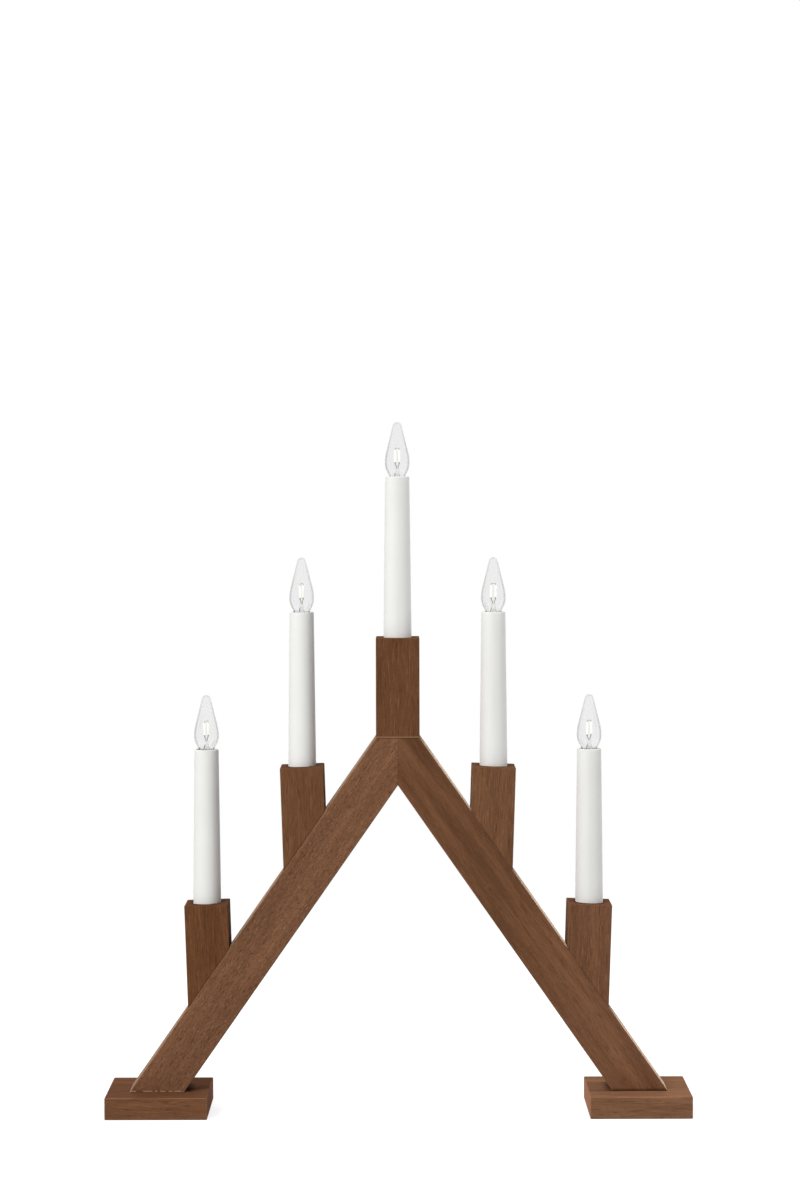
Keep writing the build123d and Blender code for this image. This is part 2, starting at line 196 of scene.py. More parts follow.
@dataclass(frozen=True)
class StainedWood:
    """Planed rubberwood under a brown water stain.

    The stain sinks deep into the short pores and leaves the flecks between them paler, so the eye
    sees a matt brown ground with fine dark and light dashes along the grain and broad soft bands.
    Pale arrises are partly rubbed and partly a painted edge highlight. End grain has its own tone,
    which on the feet also paints light and shade. Dark lines show glue lines and painted shade
    where parts meet, and a ring of painted shadow lies round a post's bore. Fibres raised by the
    water give it a sheen.
    """

    node: str
    tone: str
    figure: float
    bands: float
    grit: float
    seed: float
    centre: tuple[float, float, float]
    turn: float
    half: tuple[float, float, float]
    joints: tuple[GlueAndShadeLine, ...] = ()
    sheen: float = 0.0
    mark: tuple[float, float] = (4.2, 0.8)
    pores: float = 0.5
    flecks: float = 0.36
    end_grain_and_painted_light: str = "#b58060"
    edge_wear_and_highlight: float = 1.0
    bore: float = 0.0
    foot_tone: str = ""

    def figure_noise(self, tree: bpy.types.NodeTree, local: Any, along: float, across: float,
                     shift: float, detail: float) -> bpy.types.Node:
        """Noise drawn out along the grain.

        Args:
            tree: the material's tree.
            local: coordinates in millimetres, X along the grain.
            along: length of a mark along the grain, in millimetres.
            across: its width, in millimetres.
            shift: moves the pattern, so that no two noises or timbers agree.
            detail: octaves.

        Returns:
            The noise node.
        """
        spot = add(tree, "ShaderNodeMapping", {
            "Vector": local,
            "Location": (self.seed + shift, self.seed * 1.7 - shift, self.seed * 0.6 + 2 * shift),
            "Scale": (1 / along, 1 / across, 1 / across),
        })
        return add(tree, "ShaderNodeTexNoise", {"Vector": spot, "Scale": 1.0, "Detail": detail,
                                                "Roughness": 0.6, "Distortion": 0.15})

    def arris_mask(self, tree: bpy.types.NodeTree, local: Any) -> bpy.types.Node:
        """How near a point is to one of the timber's edges, 1 on the edge.

        Args:
            tree: the material's tree.
            local: coordinates in millimetres, X along the grain.

        Returns:
            The mask's node.
        """
        axes = add(tree, "ShaderNodeSeparateXYZ", {0: local})
        gaps = []
        for axis, half in zip(axes.outputs, self.half):
            size = add(tree, "ShaderNodeMath", {0: axis}, operation="ABSOLUTE")
            less = add(tree, "ShaderNodeMath", {0: half, 1: size}, operation="SUBTRACT")
            gaps.append(add(tree, "ShaderNodeMath", {0: less}, operation="ABSOLUTE"))
        low = add(tree, "ShaderNodeMath", {0: gaps[1], 1: gaps[2]}, operation="MINIMUM")
        high = add(tree, "ShaderNodeMath", {0: gaps[1], 1: gaps[2]}, operation="MAXIMUM")
        end = add(tree, "ShaderNodeMath", {0: high, 1: gaps[0]}, operation="MINIMUM")
        second = add(tree, "ShaderNodeMath", {0: low, 1: end}, operation="MAXIMUM")
        return add(tree, "ShaderNodeMapRange", {"Value": second, "From Min": 0.15, "From Max": 0.75,
                                                "To Min": 1.0, "To Max": 0.0})

    def ground(self, tree: bpy.types.NodeTree, local: Any, streaks: Any) -> bpy.types.Node:
        """Stained ground: the tone under soft bands, streaks and grit.

        Args:
            tree: the material's tree.
            local: coordinates in millimetres, X along the grain.
            streaks: the streaks' noise.

        Returns:
            The colour's node.
        """
        tone = linear(self.tone)
        if self.foot_tone:
            # The board pales towards its foot
            along = add(tree, "ShaderNodeMath", {
                0: add(tree, "ShaderNodeSeparateXYZ", {0: local})}, operation="ABSOLUTE")
            low = add(tree, "ShaderNodeMapRange", {"Value": along, "From Min": 60.0,
                                                   "From Max": 110.0, "To Min": 1.0,
                                                   "To Max": 0.0})
            tone = add(tree, "ShaderNodeMix", {"Factor": low, "A": tone,
                                               "B": linear(self.foot_tone)}, data_type="RGBA")
        bands = self.figure_noise(tree, local, 90.0, 8.0, 0.0, 2.0)
        grit = self.figure_noise(tree, local, 1.0, 0.8, 11.0, 1.0)
        levels = [add(tree, "ShaderNodeMapRange", {
            "Value": noise, "From Min": low, "From Max": high, "To Min": 1 - swing,
            "To Max": 1 + swing}) for noise, low, high, swing in (
                (bands, 0.3, 0.7, 0.16 * self.bands), (streaks, 0.25, 0.75, 0.17 * self.figure),
                (grit, 0.25, 0.75, self.grit))]
        shade = levels[0]
        for level in levels[1:]:
            shade = add(tree, "ShaderNodeMath", {0: shade, 1: level}, operation="MULTIPLY")
        return add(tree, "ShaderNodeMix", {"Factor": 1.0, "A": tone, "B": shade},
                   data_type="RGBA", blend_type="MULTIPLY")

    def bore_painted_shadow(self, tree: bpy.types.NodeTree, local: Any, end: Any) -> bpy.types.Node:
        """How much painted shadow darkens the end grain round the bore's mouth.

        Args:
            tree: the material's tree.
            local: coordinates in millimetres, X along the grain.
            end: the end grain's mask.

        Returns:
            The mask's node.
        """
        out = add(tree, "ShaderNodeVectorMath", {0: local, 1: (0.0, 1.0, 1.0)},
                  operation="MULTIPLY")
        out = add(tree, "ShaderNodeVectorMath", {0: out}, operation="LENGTH")
        painted_shadow = add(tree, "ShaderNodeMapRange", {
            "Value": out.outputs["Value"], "From Min": self.bore, "From Max": self.bore + 3.0,
            "To Min": 0.85, "To Max": 0.0})
        return add(tree, "ShaderNodeMath", {0: painted_shadow, 1: end}, operation="MULTIPLY")

    def glue_and_shade_line(self, tree: bpy.types.NodeTree, place: Any, local: Any,
                   face_line: GlueAndShadeLine) -> bpy.types.Node:
        """How strongly a face line shows, glue line and painted shade alike.

        Args:
            tree: the material's tree.
            place: the object's own coordinates.
            local: coordinates in millimetres, X along the grain.
            face_line: the line.

        Returns:
            The mask's node.
        """
        normal = (face_line.normal[0] / MM, 0.0, face_line.normal[1] / MM)
        level = add(tree, "ShaderNodeVectorMath", {0: place, 1: normal},
                    operation="DOT_PRODUCT").outputs["Value"]
        away = add(tree, "ShaderNodeMath", {0: level, 1: face_line.offset}, operation="SUBTRACT")
        away = add(tree, "ShaderNodeMath", {0: away}, operation="ABSOLUTE")
        line = add(tree, "ShaderNodeMapRange", {
            "Value": away, "From Min": 0.0, "From Max": face_line.width, "To Min": face_line.strength,
            "To Max": 0.0})
        off = add(tree, "ShaderNodeSeparateXYZ", {0: local}).outputs[1]
        off = add(tree, "ShaderNodeMath", {0: off}, operation="ABSOLUTE")
        near = add(tree, "ShaderNodeMath", {0: off, 1: face_line.depth}, operation="LESS_THAN")
        line = add(tree, "ShaderNodeMath", {0: line, 1: near}, operation="MULTIPLY")
        if face_line.dash:
            dashes = self.figure_noise(tree, local, face_line.dash, face_line.dash, 71.0, 0.0)
            shown = add(tree, "ShaderNodeMapRange", {"Value": dashes, "From Min": 0.4,
                                                     "From Max": 0.5})
            line = add(tree, "ShaderNodeMath", {0: line, 1: shown}, operation="MULTIPLY")
        return line

    def build(self) -> bpy.types.Material:
        """Make the timber's material."""
        material, tree, coords = new_material(f"brown_stained_rubberwood_{self.node}")
        place = coords.outputs["Object"]
        # Local millimetres, X along the grain and Z across the face
        local = add(tree, "ShaderNodeMapping", {
            "Vector": place,
            "Location": tuple(v * MM for v in self.centre),
            "Rotation": (0.0, math.radians(self.turn), 0.0),
            "Scale": (MM, MM, MM),
        }, vector_type="TEXTURE").outputs[0]
        streaks = self.figure_noise(tree, local, 22.0, 1.5, 31.0, 3.0)
        pores = self.figure_noise(tree, local, *self.mark, 57.0, 1.5)
        flecks = self.figure_noise(tree, local, *self.mark, 83.0, 1.5)
        dark = add(tree, "ShaderNodeMapRange", {
            "Value": pores, "From Min": 0.57, "From Max": 0.68, "To Min": 0.0,
            "To Max": self.pores * self.figure})
        pale = add(tree, "ShaderNodeMapRange", {
            "Value": flecks, "From Min": 0.58, "From Max": 0.7, "To Min": 0.0,
            "To Max": self.flecks * self.figure})
        # End grain faces along X and takes the stain unlike the sides; on some timbers its tone also
        # paints light and shade
        facing = add(tree, "ShaderNodeMapping", {
            "Vector": coords.outputs["Normal"], "Rotation": (0.0, math.radians(self.turn), 0.0),
        }, vector_type="TEXTURE")
        end = add(tree, "ShaderNodeMath", {
            0: add(tree, "ShaderNodeSeparateXYZ", {0: facing})}, operation="ABSOLUTE")
        end = add(tree, "ShaderNodeMapRange", {"Value": end, "From Min": 0.75, "From Max": 0.95,
                                               "To Min": 0.0, "To Max": 0.7})
        # Arrises are rubbed pale in places, and the pale edge also paints the highlight that the
        # eased edges catch
        rub_and_highlight = add(tree, "ShaderNodeMapRange", {
            "Value": streaks, "From Min": 0.35, "From Max": 0.6, "To Min": 0.15 * self.edge_wear_and_highlight,
            "To Max": 0.55 * self.edge_wear_and_highlight})
        worn_and_highlit = add(tree, "ShaderNodeMath", {0: self.arris_mask(tree, local), 1: rub_and_highlight},
                   operation="MULTIPLY")
        coats = [(dark, "#43270f"), (pale, "#b08a6c"), (end, self.end_grain_and_painted_light)]
        # Painted shadow of the tube rings the bore's mouth on the post's top
        if self.bore:
            coats.append((self.bore_painted_shadow(tree, local, end), "#241006"))
        coats.append((worn_and_highlit, "#a67c5d"))
        coats += [(self.glue_and_shade_line(tree, place, local, face_line), face_line.colour)
                  for face_line in self.joints]
        colour = self.ground(tree, local, streaks)
        for share, over in coats:
            colour = add(tree, "ShaderNodeMix", {"Factor": share, "A": colour,
                                                 "B": linear(over)}, data_type="RGBA")
        rough = add(tree, "ShaderNodeMapRange", {
            "Value": streaks, "From Min": 0.3, "From Max": 0.7, "To Min": 0.62, "To Max": 0.74})
        relief = add(tree, "ShaderNodeMath", {0: streaks, 1: dark}, operation="SUBTRACT")
        bump = add(tree, "ShaderNodeBump", {"Height": relief, "Strength": 0.35,
                                            "Distance": 0.12 * MM})
        # Raised fibres catch the light where the beams are seen almost edge-on
        surface(tree, {"Base Color": colour, "Roughness": rough, "Normal": bump,
                       "Specular IOR Level": 0.01, "Sheen Weight": self.sheen,
                       "Sheen Roughness": 0.3, "Sheen Tint": linear("#f6dfc6")})
        return material


@dataclass(frozen=True)
class RawDowel:
    """Unstained beech dowel rod: pale, with short rays along the grain."""

    def build(self) -> bpy.types.Material:
        """Make the dowels' material."""
        material, tree, coords = new_material("raw_beech")
        _, shade = mottled(tree, coords.outputs["Object"], 0.9, 3.0, ("#c79d72", "#e3c39b"))
        surface(tree, {"Base Color": shade, "Roughness": 0.7})
        return material


@dataclass(frozen=True)
class MouldedPlastic:
    """Opaque injection-moulded plastic: one even colour with a soft sheen.

    The mould's polish leaves a faint ripple, drawn coarser than it is so that it shows at all.
    Flow marks are counted to the millimetre.
    """

    name: str
    colour: str
    shade: str
    roughness: float
    ripple: float = 2.5
    flow_marks: float = 0.045

    def build(self) -> bpy.types.Material:
        """Make the plastic's material."""
        material, tree, coords = new_material(self.name)
        place = coords.outputs["Object"]
        flow = add(tree, "ShaderNodeTexNoise", {"Vector": place, "Scale": self.flow_marks / MM,
                                                "Detail": 2.0})
        tint = add(tree, "ShaderNodeMapRange", {"Value": flow, "From Min": 0.3, "From Max": 0.7})
        colour = add(tree, "ShaderNodeMix", {"Factor": tint, "A": linear(self.shade),
                                             "B": linear(self.colour)}, data_type="RGBA")
        skin = add(tree, "ShaderNodeTexNoise", {"Vector": place, "Scale": 1 / (self.ripple * MM),
                                                "Detail": 1.0})
        bump = add(tree, "ShaderNodeBump", {"Height": skin, "Strength": 0.12,
                                            "Distance": 0.05 * MM})
        gloss = add(tree, "ShaderNodeMapRange", {
            "Value": skin, "To Min": self.roughness - 0.04, "To Max": self.roughness + 0.04})
        surface(tree, {"Base Color": colour, "Roughness": gloss, "Normal": bump,
                       "Specular IOR Level": 0.35})
        return material


@dataclass(frozen=True)
class BlownGlass:
    """Clear soda-lime lamp glass, blown thin: a grey cast that deepens to a fine outline.

    A slow wave in the wall keeps its reflections from being ruled straight.
    """

    name: str
    tint: str
    edge: str
    roughness: float
    wave: float
    ior: float

    def build(self) -> bpy.types.Material:
        """Make the glass."""
        material, tree, coords = new_material(self.name)
        place = coords.outputs["Object"]
        slow = add(tree, "ShaderNodeTexNoise", {"Vector": place, "Scale": 1 / (self.wave * MM),
                                                "Detail": 0.0})
        bump = add(tree, "ShaderNodeBump", {"Height": slow, "Strength": 0.1, "Distance": 0.1 * MM})
        haze = add(tree, "ShaderNodeMapRange", {
            "Value": slow, "To Min": self.roughness * 0.6, "To Max": self.roughness * 1.4})
        # Near its outline the wall is crossed aslant, through more glass; the grey outline also
        # paints the darker surroundings that the edge refracts
        aslant = add(tree, "ShaderNodeLayerWeight", {"Blend": 0.5}).outputs["Facing"]
        rim = add(tree, "ShaderNodeMapRange", {"Value": aslant, "From Min": 0.4,
                                               "From Max": 0.85}, interpolation_type="SMOOTHSTEP")
        colour = add(tree, "ShaderNodeMix", {"Factor": rim, "A": linear(self.tint),
                                             "B": linear(self.edge)}, data_type="RGBA")
        glass = add(tree, "ShaderNodeBsdfPrincipled", {
            "Base Color": colour, "Roughness": haze, "IOR": self.ior, "Transmission Weight": 1.0,
            "Normal": bump})
        # Lamplight goes through so thin a wall, so it lights what is inside
        clear = add(tree, "ShaderNodeBsdfTransparent", {"Color": linear(self.tint)})
        through = add(tree, "ShaderNodeLightPath").outputs["Is Shadow Ray"]
        both = add(tree, "ShaderNodeMixShader", {0: through, 1: glass, 2: clear})
        add(tree, "ShaderNodeOutputMaterial", {"Surface": both})
        return material


@dataclass(frozen=True)
class DrawnMetal:
    """Thin metal that was rolled, drawn or cut: tiny marks in its gloss and a darker bloom.

    The marks are drawn coarser than they are, so that they show. The bloom's clouds are counted
    to the millimetre.
    """

    name: str
    colour: str
    bloom: str
    roughness: float
    mark: float = 0.6
    cloud_marks: float = 0.18

    def build(self) -> bpy.types.Material:
        """Make the metal's material."""
        material, tree, coords = new_material(self.name)
        place = coords.outputs["Object"]
        marks = add(tree, "ShaderNodeTexNoise", {"Vector": place, "Scale": 1 / (self.mark * MM),
                                                 "Detail": 3.0})
        cloud = add(tree, "ShaderNodeTexNoise", {"Vector": place, "Scale": self.cloud_marks / MM,
                                                 "Detail": 2.0})
        share = add(tree, "ShaderNodeMapRange", {"Value": cloud, "From Min": 0.4, "From Max": 0.7,
                                                 "To Min": 0.0, "To Max": 0.6})
        colour = add(tree, "ShaderNodeMix", {"Factor": share, "A": linear(self.colour),
                                             "B": linear(self.bloom)}, data_type="RGBA")
        gloss = add(tree, "ShaderNodeMapRange", {
            "Value": marks, "To Min": self.roughness * 0.7, "To Max": self.roughness * 1.3})
        bump = add(tree, "ShaderNodeBump", {"Height": marks, "Strength": 0.15,
                                            "Distance": 0.02 * MM})
        surface(tree, {"Base Color": colour, "Metallic": 1.0, "Roughness": gloss, "Normal": bump})
        return material


@dataclass(frozen=True)
class FusedGlass:
    """Opaque black glass poured hot round the cap's end: near black, wet-looking, with seeds."""

    def build(self) -> bpy.types.Material:
        """Make the insulator's material."""
        material, tree, coords = new_material("black_insulator_glass")
        seeds, colour = mottled(tree, coords.outputs["Object"], 1.4, 1.0,
                                ("#0d0d10", "#24242a"))
        gloss = add(tree, "ShaderNodeMapRange", {"Value": seeds, "To Min": 0.08, "To Max": 0.22})
        surface(tree, {"Base Color": colour, "Roughness": gloss, "IOR": 1.52})
        return material


@dataclass(frozen=True)
class PhosphorCoat:
    """Light bar's coat: cream phosphor in silicone, chalky, faintly mottled and pale unlit; a weak
    painted emission brightens it though the lamp is off.
    """

    painted_glow: float = 0.3

    def build(self) -> bpy.types.Material:
        """Make the light bars' material."""
        material, tree, coords = new_material("cream_phosphor_silicone")
        _, colour = mottled(tree, coords.outputs["Object"], 1.6, 2.0, ("#fbf3e4", "#fffdf6"))
        # The emission is painted light: the lamp is not lit
        surface(tree, {"Base Color": colour, "Roughness": 0.55,
                       "Emission Color": linear("#fffaf0"), "Emission Strength": self.painted_glow})
        return material


# What turning needs: the half outline, the faces round it, and the thread's sizes
TURNING = [("Outline", "Geometry"), ("Steps", "Int")] + [
    (name, "Float") for name in ("Arbor", "Pitch", "Depth", "Low", "High", "Runout", "Wall",
                                 "Crest")]
# Without a thread Depth stays 0, and these only keep the thread's sums finite
PLAIN_TURNING = {"Arbor": MM, "Pitch": MM, "Runout": MM, "Wall": 1.0, "Crest": 1.0}


@dataclass(frozen=True)
class Thread:
    """Rolled thread that fades out at both ends, in millimetres, sharper as its crest rises."""

    pitch: float
    depth: float
    runout: float
    crest: float = 1.0

    def rolled(self, low: float, high: float, wall: float) -> dict[str, float]:
        """Inputs that roll the thread into a turned wall.

        Args:
            low: the thread's lower end.
            high: its upper end.
            wall: radius up to which nothing is threaded.

        Returns:
            The turning tree's inputs.
        """
        return {"Arbor": MM, "Pitch": self.pitch * MM, "Depth": self.depth * MM, "Low": low * MM,
                "High": high * MM, "Runout": self.runout * MM, "Wall": wall * MM,
                "Crest": self.crest}


# The cap and its socket share one thread, so that they fit
LAMP_THREAD = Thread(pitch=1.81, depth=0.32, runout=0.9)


def open_tree(name: str, sockets: list[tuple[str, str]]) -> tuple[bpy.types.NodeTree, Any]:
    """Start a tree that makes a shape in a finish.

    Args:
        name: the tree's name.
        sockets: its inputs and their kinds, besides the finish.

    Returns:
        The tree and what it is given.
    """
    tree = bpy.data.node_groups.new(name, "GeometryNodeTree")
    for socket, kind in [*sockets, ("Finish", "Material")]:
        tree.interface.new_socket(socket, in_out="INPUT", socket_type=f"NodeSocket{kind}")
    tree.interface.new_socket("Shape", in_out="OUTPUT", socket_type="NodeSocketGeometry")
    return tree, add(tree, "NodeGroupInput").outputs


def close_tree(tree: bpy.types.NodeTree, shape: bpy.types.Node, given: Any) -> None:
    """End a tree with real faces in their finish.

    Args:
        tree: the tree.
        shape: the node that makes the shape.
        given: what the tree is given.
    """
    shape = add(tree, "GeometryNodeRealizeInstances", {"Geometry": shape})
    shape = add(tree, "GeometryNodeSetMaterial", {"Geometry": shape, "Material": given["Finish"]})
    add(tree, "NodeGroupOutput", {0: shape})


def turning_tree() -> bpy.types.NodeTree:
    """Node tree that turns a half outline about Z, and rolls a thread into it if it has a depth."""
    tree, given = open_tree("turning", TURNING)
    outline = add(tree, "GeometryNodeMeshToCurve", {"Mesh": given["Outline"]})
    back = add(tree, "ShaderNodeMath", {0: given["Arbor"], 1: -1.0}, operation="MULTIPLY")
    shift = add(tree, "ShaderNodeCombineXYZ", {"X": back})
    outline = add(tree, "GeometryNodeTransform", {
        "Geometry": outline, "Translation": shift, "Rotation": (math.pi / 2, 0.0, 0.0)})
    ring = add(tree, "GeometryNodeCurvePrimitiveCircle", {"Resolution": given["Steps"],
                                                          "Radius": given["Arbor"]})
    ring = add(tree, "GeometryNodeSetCurveNormal", {"Curve": ring}, mode="Z_UP")
    shape = add(tree, "GeometryNodeCurveToMesh", {"Curve": ring, "Profile Curve": outline})
    shape = add(tree, "GeometryNodeFlipFaces", {"Mesh": shape})
    shape = add(tree, "GeometryNodeMergeByDistance", {"Geometry": shape, "Distance": 1e-6})
    # The thread's phase follows height and angle alone, so that a cap and its socket agree
    spot = add(tree, "GeometryNodeInputPosition")
    axes = add(tree, "ShaderNodeSeparateXYZ", {0: spot}).outputs
    angle = add(tree, "ShaderNodeMath", {0: axes[1], 1: axes[0]}, operation="ARCTAN2")
    turn = add(tree, "ShaderNodeMath", {0: axes[2], 1: given["Pitch"]}, operation="DIVIDE")
    turn = add(tree, "ShaderNodeMath", {0: turn, 1: 2 * math.pi}, operation="MULTIPLY")
    phase = add(tree, "ShaderNodeMath", {0: turn, 1: angle}, operation="SUBTRACT")
    wave = add(tree, "ShaderNodeMath", {0: phase}, operation="COSINE")
    wave = add(tree, "ShaderNodeMath", {0: wave, 1: 0.5, 2: 0.5}, operation="MULTIPLY_ADD")
    wave = add(tree, "ShaderNodeMath", {0: wave, 1: given["Crest"]}, operation="POWER")
    groove = add(tree, "ShaderNodeMath", {0: 1.0, 1: wave}, operation="SUBTRACT")
    above = add(tree, "ShaderNodeMath", {0: axes[2], 1: given["Low"]}, operation="SUBTRACT")
    below = add(tree, "ShaderNodeMath", {0: given["High"], 1: axes[2]}, operation="SUBTRACT")
    inside = add(tree, "ShaderNodeMath", {0: above, 1: below}, operation="MINIMUM")
    fade = add(tree, "ShaderNodeMath", {0: inside, 1: given["Runout"]}, operation="DIVIDE",
               use_clamp=True)
    flat = add(tree, "ShaderNodeVectorMath", {0: spot, 1: (1.0, 1.0, 0.0)}, operation="MULTIPLY")
    reach = add(tree, "ShaderNodeVectorMath", {0: flat}, operation="LENGTH").outputs["Value"]
    on_wall = add(tree, "ShaderNodeMath", {0: reach, 1: given["Wall"]}, operation="GREATER_THAN")
    cut = groove
    for factor in (fade, given["Depth"], on_wall, -1.0):
        cut = add(tree, "ShaderNodeMath", {0: cut, 1: factor}, operation="MULTIPLY")
    out = add(tree, "ShaderNodeVectorMath", {0: flat}, operation="NORMALIZE")
    move = add(tree, "ShaderNodeVectorMath", {0: out, "Scale": cut}, operation="SCALE")
    shape = add(tree, "GeometryNodeSetPosition", {"Geometry": shape, "Offset": move})
    close_tree(tree, shape, given)
    return tree


def wire_tree() -> bpy.types.NodeTree:
    """Node tree that draws a round wire along bent lines."""
    tree, given = open_tree("drawn_wire", [("Path", "Geometry"), ("Gauge", "Float"),
                                           ("Bend", "Float")])
    path = add(tree, "GeometryNodeMeshToCurve", {"Mesh": given["Path"]})
    path = add(tree, "GeometryNodeFilletCurve", {"Curve": path, "Radius": given["Bend"],
                                                 "Limit Radius": True, "Count": 5}, mode="POLY")
    ring = add(tree, "GeometryNodeCurvePrimitiveCircle", {"Resolution": 12,
                                                          "Radius": given["Gauge"]})
    shape = add(tree, "GeometryNodeCurveToMesh", {"Curve": path, "Profile Curve": ring,
                                                  "Fill Caps": True})
    close_tree(tree, shape, given)
    return tree


def screw_tree(turning: bpy.types.NodeTree) -> bpy.types.NodeTree:
    """Node tree that turns one screw, cuts its cross recess and sets it at four places.

    Args:
        turning: the tree that turns and threads an outline.

    Returns:
        The screws' tree.
    """
    tree, given = open_tree("foot_screws", TURNING + [
        ("Cross", "Vector"), ("Bottom", "Float"), ("Apart", "Float"), ("Row", "Float")])
    shape = add(tree, "GeometryNodeGroup", node_tree=turning)
    for name, _ in [*TURNING, ("Finish", "Material")]:
        tree.links.new(given[name], shape.inputs[name])
    arm = add(tree, "GeometryNodeMeshCube", {"Size": given["Cross"]})
    lift = add(tree, "ShaderNodeCombineXYZ", {"Z": given["Bottom"]})
    arms = [add(tree, "GeometryNodeTransform", {
        "Geometry": arm.outputs["Mesh"], "Translation": lift,
        "Rotation": (0.0, 0.0, math.radians(angle))}) for angle in (0, 90)]
    cutter = add(tree, "GeometryNodeJoinGeometry")
    for one in arms:
        tree.links.new(one.outputs[0], cutter.inputs[0])
    cut = add(tree, "GeometryNodeMeshBoolean", {0: shape, 1: cutter, "Self Intersection": True},
              operation="DIFFERENCE", solver="EXACT")
    grid = add(tree, "GeometryNodeMeshGrid", {"Size X": given["Apart"], "Size Y": given["Row"],
                                              "Vertices X": 2, "Vertices Y": 2})
    screws = add(tree, "GeometryNodeInstanceOnPoints", {"Points": grid.outputs["Mesh"],
                                                        "Instance": cut.outputs["Mesh"]})
    close_tree(tree, screws, given)
    return tree


def grown(points: list[tuple[float, float, float]], closed: bool, tree: bpy.types.NodeTree,
          inputs: dict[str, Any], sharp: float = 40.0) -> bpy.types.Mesh:
    """Run a node tree on a line of points and keep the plain mesh.

    Args:
        points: the line, in metres.
        closed: whether the last point joins the first.
        tree: the node tree.
        inputs: the tree's named inputs.
        sharp: edges that turn more than this many degrees stay crisp.

    Returns:
        The mesh, with no modifier left.
    """
    line = bpy.data.meshes.new("line")
    edges = [(i, i + 1) for i in range(len(points) - 1)]
    line.from_pydata(points, edges + [(len(points) - 1, 0)] if closed else edges, [])
    blank = bpy.data.objects.new("blank", line)
    modifier = blank.modifiers.new("shape", "NODES")
    modifier.node_group = tree
    sockets = {item.name: item.identifier for item in tree.interface.items_tree
               if item.item_type == "SOCKET" and item.in_out == "INPUT"}
    for name, value in inputs.items():
        modifier[sockets[name]] = value
    bpy.context.scene.collection.objects.link(blank)
    depsgraph = bpy.context.evaluated_depsgraph_get()
    mesh = bpy.data.meshes.new_from_object(blank.evaluated_get(depsgraph), depsgraph=depsgraph)
    bpy.data.objects.remove(blank)
    bpy.data.meshes.remove(line)
    mesh.shade_smooth()
    mesh.set_sharp_from_angle(angle=math.radians(sharp))
    return mesh


def joined(meshes: list[bpy.types.Mesh]) -> bpy.types.Mesh:
    """Put meshes of one finish together.

    Args:
        meshes: the meshes, the first of which lends its material.

    Returns:
        One mesh.
    """
    shape = bmesh.new()
    for mesh in meshes:
        shape.from_mesh(mesh)
    whole = bpy.data.meshes.new("whole")
    shape.to_mesh(whole)
    shape.free()
    whole.materials.append(meshes[0].materials[0])
    return whole


def piece(name: str, mesh: bpy.types.Mesh, body: str, slot: str, *nodes: str) -> bpy.types.Object:
    """Add a finished piece to the object.

    Args:
        name: the piece's name.
        mesh: its mesh, in place.
        body: the body it rides on.
        slot: the record's material slot, which is not used.
        *nodes: the nodes that it stands for.

    Returns:
        The new object.
    """
    mesh.name = name
    made = bpy.data.objects.new(name, mesh)
    bpy.context.scene.collection.objects.link(made)
    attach(made, body)
    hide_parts(*nodes)
    log.info("%s: %d faces on %s", name, len(mesh.polygons), body)
    return made


def dress(node: str, material: bpy.types.Material) -> None:
    """Give a node of the frame its finish.

    Args:
        node: the node's name.
        material: the finish.
    """
    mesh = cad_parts[node].data
    mesh.materials.clear()
    mesh.materials.append(material)
    log.info("%s: dressed in %s", node, material.name)


